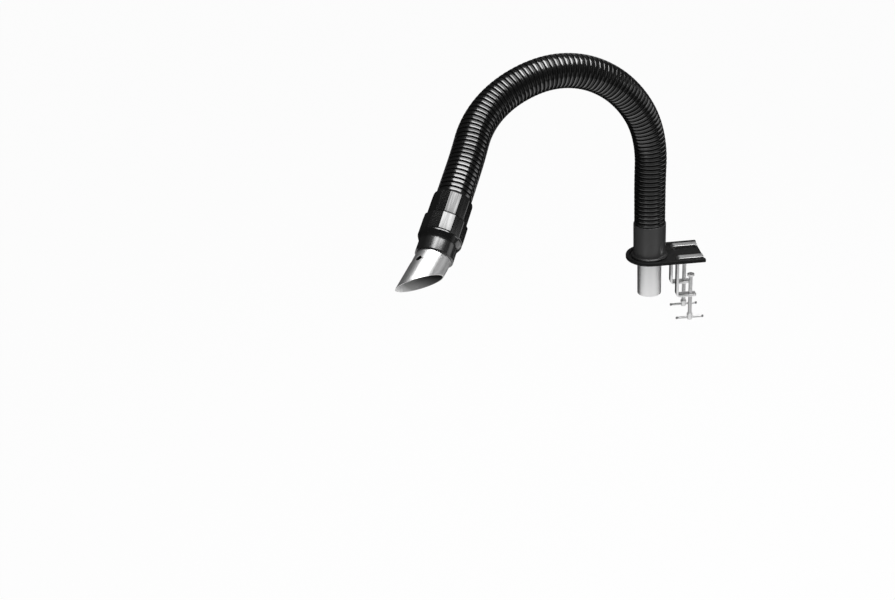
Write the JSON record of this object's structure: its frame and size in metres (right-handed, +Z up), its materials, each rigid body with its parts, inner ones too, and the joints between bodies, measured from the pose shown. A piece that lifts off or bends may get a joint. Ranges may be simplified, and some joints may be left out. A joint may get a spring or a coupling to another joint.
{
  "type": "fume extraction arm",
  "caption": "Bench-clamped fume extraction arm: stay-put ribbed hose on a swivelling collar, with a turning cuff and a bevelled pull-out nozzle.",
  "frame": {"origin": "underside of the bracket's tongue, midway between the two clamp screws, where the bench top meets it", "axes": "+Z up, +X along the tongue away from the arm, +Y from the front clamp towards the rear clamp"},
  "size_m": [0.6039, 0.5056, 0.6047],
  "materials": {
    "hose_pvc": "gloss black",
    "liner_polymer": "matt grey",
    "collar_polymer": "satin charcoal",
    "cuff_polymer": "gloss black",
    "washer_polymer": "natural",
    "seal_rubber": "matt black",
    "bracket_paint": "satin black",
    "clamp_chrome": "bright plated",
    "ring_steel": "spring steel",
    "spigot_metal": "satin",
    "nozzle_aluminium": "satin"
  },
  "bodies": {
    "bracket": {"bracket_plate": "bracket_paint", "thrust_washer": "washer_polymer", "clamp_frame_front": "clamp_chrome", "clamp_frame_rear": "clamp_chrome"},
    "swivel_collar": {"hose_collar": "collar_polymer", "spigot_tube": "spigot_metal", "retaining_ring": "ring_steel", "liner_base": "liner_polymer"},
    "link_01": {"liner_link_01": "liner_polymer", "hose_section_01": "hose_pvc"},
    "link_02": {"liner_link_02": "liner_polymer", "hose_section_02": "hose_pvc"},
    "link_03": {"liner_link_03": "liner_polymer", "hose_section_03": "hose_pvc"},
    "link_04": {"liner_link_04": "liner_polymer", "hose_section_04": "hose_pvc"},
    "link_05": {"liner_link_05": "liner_polymer", "hose_section_05": "hose_pvc"},
    "link_06": {"liner_link_06": "liner_polymer", "hose_section_06": "hose_pvc"},
    "link_07": {"liner_link_07": "liner_polymer", "hose_section_07": "hose_pvc"},
    "link_08": {"liner_link_08": "liner_polymer", "hose_section_08": "hose_pvc"},
    "link_09": {"liner_link_09": "liner_polymer", "hose_section_09": "hose_pvc"},
    "link_10": {"liner_link_10": "liner_polymer", "hose_section_10": "hose_pvc"},
    "link_11": {"liner_link_11": "liner_polymer", "hose_section_11": "hose_pvc"},
    "link_12": {"liner_link_12": "liner_polymer", "hose_section_12": "hose_pvc"},
    "cuff": {"liner_tip": "liner_polymer", "hose_section_13": "hose_pvc", "hose_cuff": "cuff_polymer", "swivel_snap_ring": "ring_steel"},
    "sleeve": {"swivel_sleeve": "cuff_polymer", "swivel_seal": "seal_rubber"},
    "nozzle": {"nozzle": "nozzle_aluminium"},
    "pad_front": {"clamp_pad_front": "clamp_chrome"},
    "screw_front": {"clamp_screw_front": "clamp_chrome"},
    "tommy_front": {"tommy_bar_front": "clamp_chrome"},
    "pad_rear": {"clamp_pad_rear": "clamp_chrome"},
    "screw_rear": {"clamp_screw_rear": "clamp_chrome"},
    "tommy_rear": {"tommy_bar_rear": "clamp_chrome"}
  },
  "joints": [
    {"name": "base_swivel", "type": "hinge", "parent": "bracket", "child": "swivel_collar", "pos_m": [-0.081, 0, 0.0051], "axis": [0, 0, 1], "continuous": true},
    {"name": "flex_01", "type": "hinge", "parent": "swivel_collar", "child": "link_01", "pos_m": [-0.081, 0, 0.1096], "axis": [0.788, -0.6157, 0], "range_deg": [-20, 20], "deforming": ["hose_section_01"]},
    {"name": "flex_02", "type": "hinge", "parent": "link_01", "child": "link_02", "pos_m": [-0.081, 0, 0.1726], "axis": [-0.4295, 0.9031, 0], "range_deg": [-22.24, 17.76], "deforming": ["hose_section_02"]},
    {"name": "flex_03", "type": "hinge", "parent": "link_02", "child": "link_03", "pos_m": [-0.07877, 0.00106, 0.23577], "axis": [0.442, -0.897, -0.0005], "range_deg": [-36.1, 3.9], "deforming": ["hose_section_03"]},
    {"name": "flex_04", "type": "hinge", "parent": "link_03", "child": "link_04", "pos_m": [-0.09241, -0.0057, 0.29742], "axis": [0.4806, -0.8769, 0.0102], "range_deg": [-39.04, 0.96], "deforming": ["hose_section_04"]},
    {"name": "flex_05", "type": "hinge", "parent": "link_04", "child": "link_05", "pos_m": [-0.12289, -0.02178, 0.3507], "axis": [0.4246, -0.9049, -0.0303], "range_deg": [-34.09, 5.91], "deforming": ["hose_section_05"]},
    {"name": "flex_06", "type": "hinge", "parent": "link_05", "child": "link_06", "pos_m": [-0.16424, -0.04263, 0.39393], "axis": [0.2487, -0.9439, -0.2174], "range_deg": [-35.57, 4.43], "deforming": ["hose_section_06"]},
    {"name": "flex_07", "type": "hinge", "parent": "link_06", "child": "link_07", "pos_m": [-0.21634, -0.06323, 0.42376], "axis": [0.3128, -0.9439, -0.1053], "range_deg": [-38.31, 1.69], "deforming": ["hose_section_07"]},
    {"name": "flex_08", "type": "hinge", "parent": "link_07", "child": "link_08", "pos_m": [-0.27542, -0.08402, 0.43462], "axis": [0.3382, -0.9403, 0.0394], "range_deg": [-39.01, 0.99], "deforming": ["hose_section_08"]},
    {"name": "flex_09", "type": "hinge", "parent": "link_08", "child": "link_09", "pos_m": [-0.33424, -0.10559, 0.42452], "axis": [0.2192, -0.8343, 0.5059], "range_deg": [-34.51, 5.49], "deforming": ["hose_section_09"]},
    {"name": "flex_10", "type": "hinge", "parent": "link_09", "child": "link_10", "pos_m": [-0.38635, -0.13339, 0.40126], "axis": [-0.0463, -0.5886, 0.8071], "range_deg": [-39.47, 0.53], "deforming": ["hose_section_10"]},
    {"name": "flex_11", "type": "hinge", "parent": "link_10", "child": "link_11", "pos_m": [-0.42352, -0.17406, 0.36947], "axis": [-0.0463, -0.5886, 0.8071], "range_deg": [-39.47, 0.53], "deforming": ["hose_section_11"]},
    {"name": "flex_12", "type": "hinge", "parent": "link_11", "child": "link_12", "pos_m": [-0.44129, -0.22268, 0.333], "axis": [-0.7313, 0.5598, -0.3897], "range_deg": [-23.81, 16.19], "deforming": ["hose_section_12"]},
    {"name": "flex_13", "type": "hinge", "parent": "link_12", "child": "cuff", "pos_m": [-0.46154, -0.27225, 0.29979], "axis": [0.4352, -0.617, 0.6557], "range_deg": [-20, 20], "deforming": ["hose_section_13"]},
    {"name": "cuff_swivel", "type": "hinge", "parent": "cuff", "child": "sleeve", "pos_m": [-0.49095, -0.34424, 0.25157], "axis": [-0.3214, -0.7868, -0.527], "continuous": true},
    {"name": "nozzle_slide", "type": "slide", "parent": "sleeve", "child": "nozzle", "axis": [-0.3214, -0.7868, -0.527], "range_m": [0, 0.021]},
    {"name": "pad_lift_front", "type": "slide", "parent": "bracket", "child": "pad_front", "axis": [0, 0, 1], "range_m": [-0.04, 0.0275]},
    {"name": "screw_turn_front", "type": "hinge", "parent": "pad_front", "child": "screw_front", "pos_m": [0, -0.0303, -0.037], "axis": [0, 0, 1], "range_deg": [-11521, 7921]},
    {"name": "tommy_slide_front", "type": "slide", "parent": "screw_front", "child": "tommy_front", "axis": [1, 0, 0], "range_m": [-0.019, 0.019]},
    {"name": "pad_lift_rear", "type": "slide", "parent": "bracket", "child": "pad_rear", "axis": [0, 0, 1], "range_m": [-0.04, 0.0275]},
    {"name": "screw_turn_rear", "type": "hinge", "parent": "pad_rear", "child": "screw_rear", "pos_m": [0, 0.0303, -0.037], "axis": [0, 0, 1], "range_deg": [-11521, 7921]},
    {"name": "tommy_slide_rear", "type": "slide", "parent": "screw_rear", "child": "tommy_rear", "axis": [1, 0, 0], "range_m": [-0.019, 0.019]}
  ],
  "couplings": [
    {"joint": "screw_turn_front", "follows": "pad_lift_front", "rad_per_m": 5026.5},
    {"joint": "screw_turn_rear", "follows": "pad_lift_rear", "rad_per_m": 5026.5}
  ]
}
